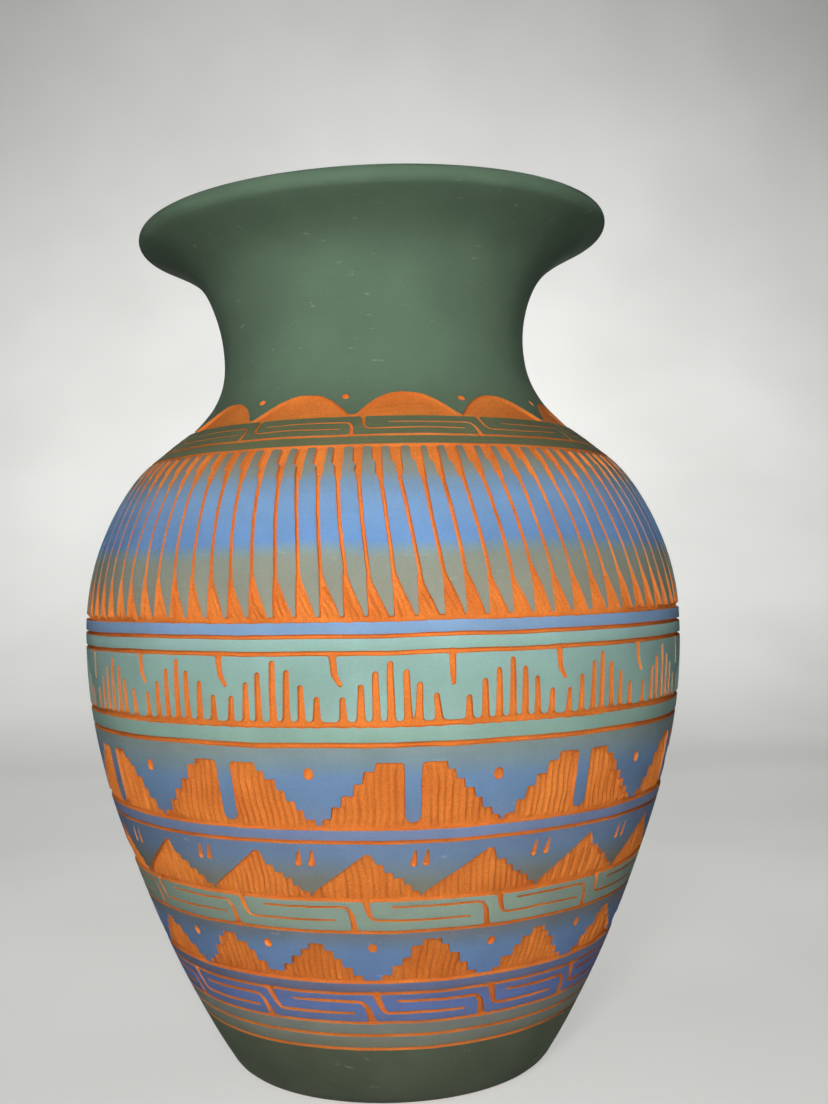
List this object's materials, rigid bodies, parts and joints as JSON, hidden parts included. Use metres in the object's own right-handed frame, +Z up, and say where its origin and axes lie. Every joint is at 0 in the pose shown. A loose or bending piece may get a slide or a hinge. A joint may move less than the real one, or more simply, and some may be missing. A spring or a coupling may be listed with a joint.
{
  "type": "etched clay vase",
  "caption": "Shouldered earthenware vase with a wide flared lip, painted in rings of matte colour and cut through to the clay in stepped, key, feather and rain patterns.",
  "frame": {"origin": "centre of the flat base, on the surface that the vase stands on", "axes": "+Z up along the vase's axis of revolution; the vase is round, so X and Y are free"},
  "size_m": [0.1784, 0.1784, 0.2503],
  "materials": {
    "clay": "bare low-fired terracotta, matte",
    "green_paint": "matte sprayed paint",
    "olive_green_paint": "matte sprayed paint",
    "sky_blue_paint": "matte sprayed paint, fading to grey-green",
    "turquoise_paint": "matte sprayed paint",
    "steel_blue_paint": "matte sprayed paint, fading to grey-green",
    "violet_paint": "matte sprayed paint",
    "olive_grey_paint": "matte sprayed paint",
    "dark_green_paint": "matte sprayed paint"
  },
  "bodies": {
    "root": {"clay_vessel": "clay", "neck_coat": "green_paint", "collar_key_band": "olive_green_paint", "collar_stripe": "olive_green_paint", "feather_band": "sky_blue_paint", "upper_blue_stripe": "sky_blue_paint", "upper_turquoise_stripe": "turquoise_paint", "rain_band": "turquoise_paint", "lower_turquoise_stripe": "turquoise_paint", "mesa_band": "steel_blue_paint", "lower_blue_stripe": "steel_blue_paint", "mountain_band": "steel_blue_paint", "turquoise_key_band": "turquoise_paint", "terrace_band": "steel_blue_paint", "violet_stripe": "violet_paint", "violet_key_band": "violet_paint", "upper_olive_stripe": "olive_grey_paint", "lower_olive_stripe": "olive_grey_paint", "foot_coat": "dark_green_paint"}
  },
  "joints": []
}
